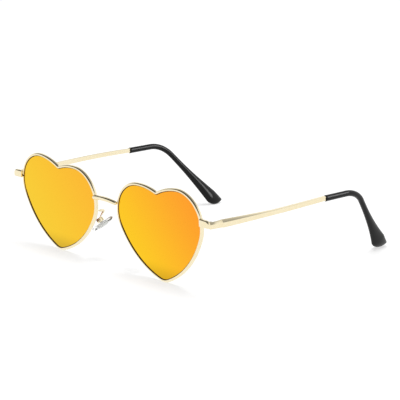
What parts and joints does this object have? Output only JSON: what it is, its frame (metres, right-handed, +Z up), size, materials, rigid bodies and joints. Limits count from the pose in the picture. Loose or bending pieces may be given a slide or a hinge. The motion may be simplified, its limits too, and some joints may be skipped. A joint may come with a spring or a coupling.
{
  "type": "heart shaped sunglasses",
  "caption": "Heart shaped mirror lenses in thin metal rims with a wire bridge, rocking nose pads and slim folding temples that end in soft black tips.",
  "frame": {"origin": "on the surface that the open glasses stand on, under the middle of their bounding box", "axes": "+X to the wearer's left, +Y back along the open temples, +Z up"},
  "size_m": [0.1464, 0.132, 0.0467],
  "materials": {
    "frame_metal": "polished pale gold plating",
    "screw_metal": "plated steel",
    "mirror_lens": "orange and yellow mirror coating",
    "tip_plastic": "glossy black",
    "pad_silicone": "clear silicone"
  },
  "bodies": {
    "front": {"bridge": "frame_metal", "rim_left": "frame_metal", "rim_right": "frame_metal", "lens_left": "mirror_lens", "lens_right": "mirror_lens", "end_piece_left": "frame_metal", "end_piece_right": "frame_metal", "rim_lock_left": "frame_metal", "rim_lock_right": "frame_metal", "rim_screw_left": "screw_metal", "rim_screw_right": "screw_metal", "hinge_front_leaf_left": "frame_metal", "hinge_front_leaf_right": "frame_metal", "hinge_screw_left": "screw_metal", "hinge_screw_right": "screw_metal", "pad_arm_left": "frame_metal", "pad_arm_right": "frame_metal", "pad_box_left": "frame_metal", "pad_box_right": "frame_metal", "pad_screw_left": "screw_metal", "pad_screw_right": "screw_metal"},
    "temple_left": {"hinge_temple_leaf_left": "frame_metal", "temple_left": "frame_metal", "temple_tip_left": "tip_plastic"},
    "pad_left": {"pad_insert_left": "frame_metal", "nose_pad_left": "pad_silicone"},
    "temple_right": {"hinge_temple_leaf_right": "frame_metal", "temple_right": "frame_metal", "temple_tip_right": "tip_plastic"},
    "pad_right": {"pad_insert_right": "frame_metal", "nose_pad_right": "pad_silicone"}
  },
  "joints": [
    {"name": "temple_fold_left", "type": "hinge", "parent": "front", "child": "temple_left", "pos_m": [0.06861, -0.06015, 0.03303], "axis": [0, -0.0717, 0.9974], "range_deg": [0, 77]},
    {"name": "temple_fold_right", "type": "hinge", "parent": "front", "child": "temple_right", "pos_m": [-0.06861, -0.06015, 0.03303], "axis": [0, 0.0717, -0.9974], "range_deg": [0, 84]},
    {"name": "pad_rock_left", "type": "hinge", "parent": "front", "child": "pad_left", "pos_m": [0.01318, -0.05639, 0.01902], "axis": [-0.5364, -0.8429, 0.0422], "range_deg": [-10, 10]},
    {"name": "pad_rock_right", "type": "hinge", "parent": "front", "child": "pad_right", "pos_m": [-0.01318, -0.05639, 0.01902], "axis": [-0.5364, 0.8429, -0.0422], "range_deg": [-10, 10]}
  ]
}
